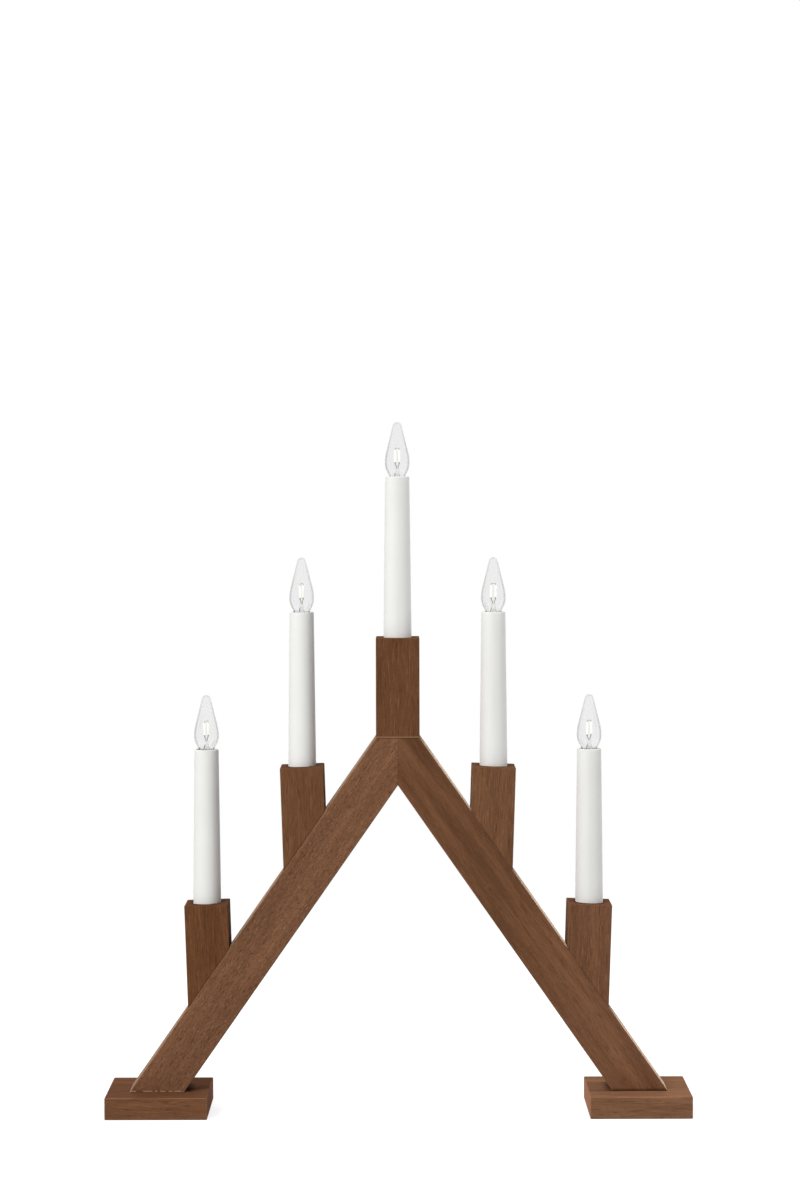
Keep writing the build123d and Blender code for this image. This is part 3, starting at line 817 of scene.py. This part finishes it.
@dataclass
class Timber:
    """Feet, beams and posts, with their grain along each one, and the dowels in their joints."""

    beam_angle: float = 55.1
    beam_width: float = 27.5
    timber_depth: float = 27.0
    post_width: float = 26.5
    half_span: float = 164.1
    foot_side: float = 62.0
    foot_height: float = 13.5
    post_lean: float = 1.86

    @property
    def across(self) -> tuple[float, float]:
        """Normal of the right beam's outer face, in the arch's plane."""
        slope = math.radians(self.beam_angle)
        return math.sin(slope), math.cos(slope)

    def outer_offset(self) -> float:
        """Distance of the beams' outer faces from the origin."""
        across = self.across
        return across[0] * self.half_span + across[1] * self.foot_height

    def feet(self) -> list[StainedWood]:
        """Both feet, grain along X."""
        half = (self.foot_side / 2, self.foot_side / 2, self.foot_height / 2)
        across = self.across
        inner = self.outer_offset() - self.beam_width
        feet = []
        # Each foot's end-grain colour also paints light and shade: paler on the right foot, whose
        # visible end is lit, and darker on the left foot, whose visible end is shaded. The left
        # foot's top also takes painted shade.
        for node, tone, seed, top_painted_shade, end_grain_and_painted_light in (
                ("foot_left", "#775139", 3.0, 0.3, "#7d4c3a"),
                ("foot_right", "#845e45", 9.0, 0.0, "#b58060")):
            low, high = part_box(node)
            middle = (low + high) / 2 / MM
            side = math.copysign(1.0, middle.x)
            # Painted shadow on the foot's top, in a stripe beside the beam's inner face
            shade = GlueAndShadeLine((side * across[0], across[1]), inner, 5.0, "#351a0a", 0.75,
                          self.timber_depth / 2)
            # Painted shade darkening the whole top face, on the left foot only
            top = GlueAndShadeLine((0.0, 1.0), self.foot_height, 0.4, "#4a2a18", top_painted_shade)
            feet.append(StainedWood(node, tone, 0.75, 1.1, 0.08, seed, tuple(middle), 0.0, half,
                                    (shade, top), mark=(9.0, 0.8), flecks=0.2,
                                    end_grain_and_painted_light=end_grain_and_painted_light))
        return feet

    def beams(self) -> list[StainedWood]:
        """Both beams, grain along their slope."""
        half = (OPEN_END, self.timber_depth / 2, self.beam_width / 2)
        footprint = self.beam_width / self.across[0]
        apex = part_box("beam_left")[1].z / MM
        mitre = GlueAndShadeLine((1.0, 0.0), 0.0, 0.4, "#4a2c17", 0.45)
        seam = GlueAndShadeLine((0.0, 1.0), apex, 0.9, "#3f2412", 0.75)
        floor = self.foot_height
        bright = GlueAndShadeLine((0.0, 1.0), floor + 0.5, 0.6, "#d0a47c", 0.6, dash=2.2)
        # Each beam's dark band just above its foot is painted shadow where it stands on the foot
        left = StainedWood(
            "beam_left", "#7a553e", 1.05, 1.0, 0.2, 11.0,
            (footprint / 2 - self.half_span, 0.0, floor), -self.beam_angle, half,
            (mitre, seam, GlueAndShadeLine((0.0, 1.0), floor, 1.6, "#3a200e", 0.5), bright), 0.55,
            mark=(3.6, 0.6), flecks=0.28, edge_wear_and_highlight=0.6)
        right = StainedWood(
            "beam_right", "#704c35", 0.75, 1.8, 0.1, 23.0,
            (self.half_span - footprint / 2, 0.0, floor), self.beam_angle, half,
            (mitre, seam, GlueAndShadeLine((0.0, 1.0), floor, 1.9, "#2e1508", 0.95)), 0.85,
            mark=(8.0, 0.5), pores=0.6, flecks=0.16, edge_wear_and_highlight=0.6, foot_tone="#77523b")
        return [left, right]

    def posts(self) -> list[StainedWood]:
        """The five posts, grain along each."""
        half = (0.0, self.timber_depth / 2, self.post_width / 2)
        tones = {Place.CENTRE: "#6a462e", Place.UPPER_LEFT: "#6f4b33",
                 Place.LOWER_LEFT: "#68432b", Place.UPPER_RIGHT: "#745038",
                 Place.LOWER_RIGHT: "#78523b"}
        posts = []
        for count, (place, tone) in enumerate(tones.items()):
            node = f"post_{place.label}"
            low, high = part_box(node)
            tube_low, tube_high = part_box(f"candle_tube_{place.label}")
            top = (tube_low.x + tube_high.x) / 2 / MM, 0.0, high.z / MM
            if place is Place.CENTRE:
                lines = (GlueAndShadeLine((0.0, 1.0), low.z / MM, 1.1, "#a07a5c", 0.8),)
            else:
                across = self.across
                lines = (GlueAndShadeLine((place.side * across[0], across[1]), self.outer_offset(), 0.9,
                               "#43270f", 0.35 if place.side < 0 else 0.15),)
            turn = -90.0 + place.side * self.post_lean
            posts.append(StainedWood(node, tone, 0.9, 0.8, 0.1, 29.0 + 5 * count, top, turn, half,
                                     lines, mark=(8.5, 0.6), flecks=0.2, end_grain_and_painted_light="#5a3824",
                                     edge_wear_and_highlight=0.25, bore=(tube_high.x - tube_low.x) / 2 / MM))
        return posts

    def build(self) -> None:
        """Dress every timber and the dowels."""
        for wood in self.feet() + self.beams() + self.posts():
            dress(wood.node, wood.build())
        dress("dowels", RawDowel().build())


@dataclass
class Candle:
    """Candle tube and the lampholder in its top, in millimetres from the tube's rim."""

    turning: bpy.types.NodeTree
    tube_finish: bpy.types.Material
    brass: bpy.types.Material
    top_radius: float = 7.36
    base_radius: float = 8.66
    length: float = 108.0
    wall: float = 1.0
    crown: float = 0.85
    foot_chamfer: float = 0.4
    holder_bottom: float = -20.6
    holder_radius: float = 6.21
    holder_gap: float = 0.15
    ledge_height: float = 1.5
    ledge_reach: float = 1.6
    shell_inner: float = 5.06
    shell_wall: float = 0.3
    shell_top: float = -3.0
    shell_length: float = 10.65
    thread: Thread = LAMP_THREAD

    def tube_outline(self) -> list[tuple[float, float]]:
        """Half section of the tube, anticlockwise."""
        bore = self.holder_radius + self.holder_gap
        draft = (self.base_radius - self.top_radius) / self.length
        base = -self.length
        ledge_base = self.holder_bottom - self.ledge_height
        ledge = self.holder_radius - self.ledge_reach
        points = [(self.base_radius - self.wall, base),
                  (self.base_radius - self.foot_chamfer, base),
                  (self.base_radius, base + self.foot_chamfer)]
        for step in range(1, 12):
            height = base + (self.length - self.crown) * step / 12
            points.append((self.top_radius - height * draft, height))
        half_wall = (self.top_radius - bore) / 2
        for step in range(9):
            angle = math.pi * step / 8
            reach = bore + half_wall + half_wall * math.cos(angle)
            points.append((reach, -self.crown + self.crown * math.sin(angle)))
        points += [(bore - self.holder_bottom * draft, self.holder_bottom),
                   (ledge, self.holder_bottom), (ledge, ledge_base),
                   (bore - ledge_base * draft, ledge_base)]
        return points

    def shell_outline(self) -> list[tuple[float, float]]:
        """Half section of the socket's brass shell, anticlockwise and finely divided."""
        steps = 70
        heights = [self.shell_top - self.shell_length * (1 - i / steps) for i in range(steps + 1)]
        outer = [(self.shell_inner + self.shell_wall, z) for z in heights]
        inner = [(self.shell_inner, z) for z in reversed(heights)]
        return outer + inner

    def build(self, place: Place) -> None:
        """Make one candle's tube and shell.

        Args:
            place: which candle.
        """
        low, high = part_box(f"candle_tube_{place.label}")
        rim = Matrix.Translation(((low.x + high.x) / 2, 0.0, high.z))
        tube = grown(as_metres(self.tube_outline()), True, self.turning,
                     PLAIN_TURNING | {"Steps": 96, "Finish": self.tube_finish})
        tube.transform(rim)
        piece(f"candle_tube_turned_{place.label}", tube, "arch", "candle_plastic",
              f"candle_tube_{place.label}")
        rolled = self.thread.rolled(self.shell_top - self.shell_length, self.shell_top, 0.0)
        shell = grown(as_metres(self.shell_outline()), True, self.turning,
                      rolled | {"Steps": 56, "Finish": self.brass})
        shell.transform(rim)
        piece(f"socket_shell_threaded_{place.label}", shell, "arch", "socket_brass",
              f"socket_shell_{place.label}")


@dataclass
class Lamp:
    """Small screw lamp, in millimetres from its cap's rim."""

    turning: bpy.types.NodeTree
    wire: bpy.types.NodeTree
    cap_finish: bpy.types.Material
    black_glass: bpy.types.Material
    solder: bpy.types.Material
    stem_glass: bpy.types.Material
    bar_coat: bpy.types.Material
    wire_finish: bpy.types.Material
    depth: float = 3.5
    cap_radius: float = 4.76
    cap_wall: float = 0.35
    cap_length: float = 10.5
    cap_shoulder: float = 1.6
    cap_end: float = 3.3
    insulator_height: float = 1.6
    insulator_radius: float = 2.2
    solder_radius: float = 1.5
    solder_height: float = 1.2
    thread: Thread = LAMP_THREAD
    thread_stop: float = 0.5
    thread_margin: float = 0.1
    neck: float = 4.31
    neck_insert: float = 4.0
    flange: float = 0.8
    stem_wall: float = 0.5
    bar_radius: float = 0.65
    bar_length: float = 7.3
    bar_spread: float = 1.9
    bar_bottom: float = 12.2
    wire_radius: float = 0.22
    bridge_radius: float = 0.13
    wire_half_gap: float = 0.75
    wire_rise: float = 1.1
    bridge_rise: float = 1.2
    wire_bend: float = 0.5
    pinch_top: float = 8.5
    bar_round: float = 0.35
    bead_lift: float = 0.5

    def turned(self, outline: list[tuple[float, float]], finish: bpy.types.Material,
               closed: bool = False, steps: int = 32) -> bpy.types.Mesh:
        """Turn a plain outline.

        Args:
            outline: radius and height, anticlockwise.
            finish: the material.
            closed: whether the outline is a ring that stays clear of the axis.
            steps: faces round the axis.

        Returns:
            The turned mesh.
        """
        return grown(as_metres(outline), closed, self.turning,
                     PLAIN_TURNING | {"Steps": steps, "Finish": finish})

    def cap(self) -> bpy.types.Mesh:
        """Brass cap with its rolled thread, measured from the tube's rim like the socket's."""
        lift = -self.depth
        inner = self.cap_radius - self.cap_wall
        shoulder = self.cap_shoulder - self.cap_length + lift
        steps = 60
        heights = [shoulder + (lift - shoulder) * i / steps for i in range(steps + 1)]
        outline = [(self.cap_end - self.cap_wall, lift - self.cap_length),
                   (self.cap_end, lift - self.cap_length)]
        outline += [(self.cap_radius, z) for z in heights]
        outline += [(inner, lift), (inner, shoulder)]
        rolled = self.thread.rolled(shoulder, lift - self.thread_stop, inner + self.thread_margin)
        return grown(as_metres(outline), True, self.turning,
                     rolled | {"Steps": 56, "Finish": self.cap_finish})

    def insulator(self) -> bpy.types.Mesh:
        """Black glass between the cap and its tip, a little domed."""
        top = -self.cap_length
        bottom = top - self.insulator_height
        spread = self.cap_end - self.insulator_radius
        outline = [(0.0, bottom), (self.insulator_radius, bottom)]
        for step in range(1, 7):
            angle = math.pi / 2 * step / 7
            outline.append((self.insulator_radius + spread * math.sin(angle),
                            bottom + self.insulator_height * (1 - math.cos(angle))))
        return self.turned(outline + [(self.cap_end, top), (0.0, top)], self.black_glass)

    def solder_tip(self) -> bpy.types.Mesh:
        """Domed solder contact."""
        top = -self.cap_length - self.insulator_height
        outline = [(0.0, top - self.solder_height)]
        for step in range(1, 9):
            angle = math.pi / 2 * step / 8
            outline.append((self.solder_radius * math.sin(angle),
                            top - self.solder_height * math.cos(angle) ** 0.8))
        return self.turned(outline + [(0.0, top)], self.solder)

    def stem(self) -> bpy.types.Mesh:
        """Flared glass tube whose top is pinched flat on the wires.

        Each level gives height, half width, half depth and how square the section is.
        """
        wall = self.stem_wall
        outside = [(-self.neck_insert - self.flange, self.neck, self.neck, 2.0),
                   (-self.neck_insert, self.neck, self.neck, 2.0),
                   (-self.neck_insert + 0.4, 3.5, 3.5, 2.0), (-2.0, 3.1, 3.0, 2.0),
                   (0.0, 2.75, 2.55, 2.0), (2.0, 2.45, 2.1, 2.0), (4.0, 2.05, 1.55, 2.2),
                   (5.5, 1.7, 1.1, 2.6), (6.6, 1.52, 0.8, 3.2), (7.8, 1.5, 0.72, 3.6),
                   (8.3, 1.42, 0.66, 3.0), (self.pinch_top, 1.15, 0.45, 2.4)]
        inside = [(5.2, 1.15, 0.55, 2.4), (4.0, 2.05 - wall, 1.55 - wall, 2.2),
                  (2.0, 2.45 - wall, 2.1 - wall, 2.0), (0.0, 2.75 - wall, 2.55 - wall, 2.0),
                  (-2.0, 3.1 - wall, 3.0 - wall, 2.0),
                  (-self.neck_insert - self.flange, 3.4, 3.4, 2.0)]
        steps = 40
        shape = bmesh.new()
        rings = []
        for height, wide, deep, square in outside + inside:
            ring = []
            for step in range(steps):
                angle = 2 * math.pi * step / steps
                along, off = math.cos(angle), math.sin(angle)
                x = wide * math.copysign(abs(along) ** (2 / square), along)
                y = deep * math.copysign(abs(off) ** (2 / square), off)
                ring.append(shape.verts.new((x * MM, y * MM, height * MM)))
            rings.append(ring)
        top = len(outside) - 1
        for level in list(range(top)) + list(range(top + 1, len(rings) - 1)):
            for step in range(steps):
                after = (step + 1) % steps
                shape.faces.new((rings[level][step], rings[level][after],
                                 rings[level + 1][after], rings[level + 1][step]))
        shape.faces.new(rings[top])
        shape.faces.new(list(reversed(rings[top + 1])))
        for step in range(steps):
            after = (step + 1) % steps
            shape.faces.new((rings[-1][step], rings[-1][after], rings[0][after], rings[0][step]))
        mesh = bpy.data.meshes.new("stem")
        shape.to_mesh(mesh)
        shape.free()
        mesh.materials.append(self.stem_glass)
        mesh.shade_smooth()
        mesh.set_sharp_from_angle(angle=math.radians(50))
        return mesh

    def bars(self) -> bpy.types.Mesh:
        """Both light bars, with rounded ends."""
        top = self.bar_bottom + self.bar_length
        round_end = self.bar_round
        outline = [(0.0, self.bar_bottom)]
        for step in range(5):
            angle = math.pi / 2 * step / 4
            outline.append((self.bar_radius - round_end + round_end * math.sin(angle),
                            self.bar_bottom + round_end * (1 - math.cos(angle))))
        outline += [(r, self.bar_bottom + top - z) for r, z in reversed(outline)]
        meshes = []
        for side in (-1, 1):
            bar = self.turned(outline, self.bar_coat, steps=20)
            bar.transform(Matrix.Translation((side * self.bar_spread * MM, 0.0, 0.0)))
            meshes.append(bar)
        return joined(meshes)

    def wires(self) -> bpy.types.Mesh:
        """Lead wires, the bridge over the bars and the weld beads at the bars' ends."""
        top = self.bar_bottom + self.bar_length
        knee = self.pinch_top + self.wire_rise
        elbow = self.bar_bottom - self.wire_rise
        gap = self.wire_half_gap
        spread = self.bar_spread
        paths = [[(side * gap, self.pinch_top), (side * gap, knee), (side * spread, elbow),
                  (side * spread, self.bar_bottom)] for side in (-1, 1)]
        paths.append([(-spread, top), (-spread, top + self.bridge_rise),
                      (spread, top + self.bridge_rise), (spread, top)])
        gauges = [self.wire_radius, self.wire_radius, self.bridge_radius]
        meshes = [grown([(x * MM, 0.0, z * MM) for x, z in path], False, self.wire, {
            "Gauge": gauge * MM, "Bend": self.wire_bend * MM,
            "Finish": self.wire_finish}) for path, gauge in zip(paths, gauges)]
        for x in (-spread, spread):
            bead = self.turned([(0.0, -0.38), (0.2, -0.34), (0.36, -0.2), (0.42, 0.0),
                                (0.36, 0.2), (0.2, 0.34), (0.0, 0.38)], self.wire_finish, steps=14)
            bead.transform(Matrix.Translation((x * MM, 0.0, (elbow + self.bead_lift) * MM)))
            meshes.append(bead)
        return joined(meshes)

    def build(self, place: Place) -> None:
        """Make one lamp's pieces.

        Args:
            place: which candle.
        """
        low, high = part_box(f"candle_tube_{place.label}")
        body = f"lamp_{place.label}"
        rim = Matrix.Translation(((low.x + high.x) / 2, 0.0, high.z))
        turn = Matrix.Rotation(math.radians(place.lamp_turn), 4, "Z")
        seat = rim @ Matrix.Translation((0.0, 0.0, -self.depth * MM)) @ turn
        parts = [("lamp_cap_threaded", self.cap(), rim, "cap_brass", "lamp_cap"),
                 ("lamp_insulator", self.insulator(), seat, "black_glass", "lamp_base"),
                 ("lamp_solder_tip", self.solder_tip(), seat, "black_glass", "lamp_base"),
                 ("lamp_stem_pinched", self.stem(), seat, "lamp_glass", "lamp_stem"),
                 ("light_bars", self.bars(), seat, "light_bar", "lamp_bars"),
                 ("lead_wires", self.wires(), seat, "lamp_wire", "lamp_wires")]
        for name, mesh, matrix, slot, node in parts:
            mesh.transform(matrix)
            piece(f"{name}_{place.label}", mesh, body, slot, f"{node}_{place.label}")


@dataclass
class FootScrews:
    """Four countersunk screws up through the feet into the beams' ends."""

    turning: bpy.types.NodeTree
    steel: bpy.types.Material
    radius: float = 2.0
    length: float = 35.0
    head_radius: float = 4.0
    head_edge: float = 0.5
    recess: float = 0.5
    point: float = 4.0
    cross: tuple[float, float, float] = (4.0, 0.9, 3.2)
    row: float = 16.0
    thread: Thread = Thread(pitch=1.8, depth=0.55, runout=2.0, crest=3.0)
    thread_stop: float = 1.5
    core: float = 1.2
    plain_shank: float = 9.0

    def outline(self) -> list[tuple[float, float]]:
        """Half section of one screw, point up."""
        cone = self.recess + self.head_edge
        shank = cone + self.head_radius - self.radius
        tip = self.recess + self.length
        steps = 130
        points = [(0.0, self.recess), (self.head_radius, self.recess), (self.head_radius, cone)]
        straight = tip - self.point - shank
        points += [(self.radius, shank + straight * i / steps) for i in range(steps + 1)]
        points += [(self.radius * (1 - i / 12), tip - self.point * (1 - i / 12))
                   for i in range(1, 13)]
        return points

    def build(self) -> None:
        """Make the screws as one piece."""
        low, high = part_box("foot_screws")
        apart = (high.x - low.x) - 2 * self.head_radius * MM
        tip = self.recess + self.length
        rolled = self.thread.rolled(self.plain_shank, tip - self.thread_stop, self.core)
        mesh = grown(as_metres(self.outline()), False, screw_tree(self.turning), rolled | {
            "Steps": 28, "Cross": tuple(v * MM for v in self.cross),
            "Bottom": self.recess * MM, "Apart": apart, "Row": self.row * MM,
            "Finish": self.steel}, sharp=60.0)
        piece("foot_screws_threaded", mesh, "arch", "screw_steel", "foot_screws")


def as_metres(outline: list[tuple[float, float]]) -> list[tuple[float, float, float]]:
    """Half outline in millimetres to points in metres in the XZ plane."""
    return [(radius * MM, 0.0, height * MM) for radius, height in outline]


@dataclass
class Studio:
    """Camera, pale floor and soft lights."""

    eye: tuple[float, float, float] = (0.0, -1.757, 0.380)
    focus_height: float = 0.3126
    pixels_high: float = 1201.0
    focal_pixels: float = 2880.0
    sensor: float = 36.0
    yaw: float = -0.05
    roll: float = -0.13
    floor_half: float = 6.0
    floor_bleach: float = 0.74
    ambient: float = 0.24
    middle: Vector = field(default_factory=lambda: Vector((0.0, 0.0, 0.22)))

    def camera(self) -> None:
        """Set the camera at the photograph's place."""
        data = bpy.data.cameras.new("camera")
        data.sensor_width = self.sensor
        data.lens = self.focal_pixels / self.pixels_high * self.sensor
        data.clip_start = 0.05
        camera = bpy.data.objects.new("camera", data)
        bpy.context.scene.collection.objects.link(camera)
        down = math.atan2(self.eye[2] - self.focus_height, -self.eye[1])
        aim = (Matrix.Rotation(math.radians(self.yaw), 4, "Z")
               @ Matrix.Rotation(math.pi / 2 - down, 4, "X")
               @ Matrix.Rotation(math.radians(self.roll), 4, "Z"))
        camera.matrix_world = Matrix.Translation(self.eye) @ aim
        bpy.context.scene.camera = camera

    def seen_rays(self, tree: bpy.types.NodeTree) -> bpy.types.Node:
        """1 for rays that are seen, straight or in a reflection or through glass.

        Args:
            tree: the tree that takes the nodes.

        Returns:
            The last node.
        """
        path = add(tree, "ShaderNodeLightPath").outputs
        seen = add(tree, "ShaderNodeMath", {0: path["Is Camera Ray"], 1: path["Is Glossy Ray"]},
                   operation="MAXIMUM")
        return add(tree, "ShaderNodeMath", {0: seen, 1: path["Is Transmission Ray"]},
                   operation="MAXIMUM")

    def floor(self) -> None:
        """Lay a wide white floor that keeps a soft shadow."""
        shape = bmesh.new()
        bmesh.ops.create_grid(shape, x_segments=1, y_segments=1, size=self.floor_half)
        mesh = bpy.data.meshes.new("floor")
        shape.to_mesh(mesh)
        shape.free()
        floor = bpy.data.objects.new("floor", mesh)
        bpy.context.scene.collection.objects.link(floor)
        material, tree, coords = new_material("white_studio_paper")
        place = coords.outputs["Object"]
        # Paper's tooth, drawn coarser than it is so that it shows
        _, shade = mottled(tree, place, 0.3, 2.0, ("#b8b8b8", "#bebebe"))
        paper = add(tree, "ShaderNodeBsdfDiffuse", {"Color": shade})
        # Seen paper is bleached out to white, fully so away from the arch
        reach = add(tree, "ShaderNodeVectorMath", {0: place}, operation="LENGTH")
        seen = self.seen_rays(tree)
        far = add(tree, "ShaderNodeMapRange", {
            "Value": reach.outputs["Value"], "From Min": 0.3, "From Max": 1.0},
            interpolation_type="SMOOTHSTEP")
        far = add(tree, "ShaderNodeMath", {0: seen, 1: far}, operation="MULTIPLY")
        bleach = add(tree, "ShaderNodeMath", {0: seen, 1: self.floor_bleach},
                     operation="MULTIPLY")
        near = add(tree, "ShaderNodeEmission", {"Color": linear("#ffffff"), "Strength": bleach})
        near = add(tree, "ShaderNodeAddShader", {0: paper, 1: near})
        white = add(tree, "ShaderNodeEmission", {"Color": linear("#ffffff"), "Strength": 1.0})
        both = add(tree, "ShaderNodeMixShader", {0: far, 1: near, 2: white})
        add(tree, "ShaderNodeOutputMaterial", {"Surface": both})
        mesh.materials.append(material)

    def world(self) -> None:
        """White background for what is seen, and an even fill for what is lit."""
        world = bpy.data.worlds.new("studio")
        world.use_nodes = True
        tree = world.node_tree
        tree.nodes.clear()
        strength = add(tree, "ShaderNodeMapRange", {
            "Value": self.seen_rays(tree), "To Min": self.ambient, "To Max": 1.0})
        sky = add(tree, "ShaderNodeBackground", {"Color": linear("#ffffff"),
                                                 "Strength": strength})
        add(tree, "ShaderNodeOutputWorld", {"Surface": sky})
        bpy.context.scene.world = world

    def softbox(self, name: str, bearing: float, height: float, distance: float, size: float,
                level: float) -> None:
        """Hang a soft square light that faces the arch.

        Args:
            name: the light's name.
            bearing: degrees round from the front, to the left.
            height: degrees above the arch's middle.
            distance: metres from the arch's middle.
            size: its side, in metres.
            level: light on a surface that faces it, 1 for a white that renders white.
        """
        data = bpy.data.lights.new(name, "AREA")
        data.size = size
        data.energy = level * (math.pi * distance) ** 2
        light = bpy.data.objects.new(name, data)
        bpy.context.scene.collection.objects.link(light)
        side, up = math.radians(bearing), math.radians(height)
        away = Vector((-math.sin(side) * math.cos(up), -math.cos(side) * math.cos(up),
                       math.sin(up)))
        light.location = self.middle + away * distance
        light.rotation_euler = away.to_track_quat("Z", "Y").to_euler()
        light.visible_camera = False
        light.visible_glossy = False
        light.visible_transmission = False

    def build(self) -> None:
        """Set the whole studio."""
        self.camera()
        self.floor()
        self.world()
        self.softbox("left_softbox", 40.0, 38.0, 3.6, 1.7, 0.775)
        self.softbox("front_softbox", 10.0, 25.0, 2.8, 1.2, 0.12)
        self.softbox("back_softbox", 180.0, 24.0, 3.2, 1.0, 0.4)
        self.softbox("right_edge_light", -93.0, 36.0, 1.4, 0.12, 0.35)
        bpy.context.scene.view_settings.view_transform = "Standard"


def main() -> None:
    """Build the studio and the arch."""
    logging.basicConfig(level=logging.INFO, format="%(name)s: %(message)s")
    Studio().build()
    Timber().build()
    turning = turning_tree()
    wire = wire_tree()
    white = MouldedPlastic("white_abs_candle_tube", "#eeeeeb", "#ebebe7", 0.5).build()
    cream = MouldedPlastic("white_urea_lampholder", "#e6e3da", "#dedbd0", 0.38).build()
    shell_brass = DrawnMetal("drawn_brass_socket", "#c9a45b", "#8c6a34", 0.32).build()
    cap_brass = DrawnMetal("rolled_brass_cap", "#d6b36a", "#9a773f", 0.26).build()
    bronze = DrawnMetal("phosphor_bronze_spring", "#c08a58", "#8a5c37", 0.35).build()
    steel = DrawnMetal("yellow_zinc_steel", "#c3b98f", "#8f8765", 0.34).build()
    solder = DrawnMetal("tin_solder", "#bfc1c2", "#8f9193", 0.42, 1.1).build()
    nickel_wire = DrawnMetal("nickel_iron_wire", "#97938d", "#6f6b66", 0.38).build()
    glass = BlownGlass("clear_soda_lime_glass", "#f5f5f5", "#8f8d8d", 0.01, 6.0, 1.46).build()
    stem_glass = BlownGlass("lead_glass_stem", "#f6f5f5", "#b4b2b2", 0.03, 3.0, 1.2).build()
    black_glass = FusedGlass().build()
    coat = PhosphorCoat().build()
    candle = Candle(turning, white, shell_brass)
    lamp = Lamp(turning, wire, cap_brass, black_glass, solder, stem_glass, coat, nickel_wire)
    for place in Place:
        candle.build(place)
        lamp.build(place)
        dress(f"lampholder_{place.label}", cream)
        dress(f"lamp_glass_{place.label}", glass)
    dress("centre_contacts", bronze)
    FootScrews(turning, steel).build()


if __name__ == "__main__":
    main()
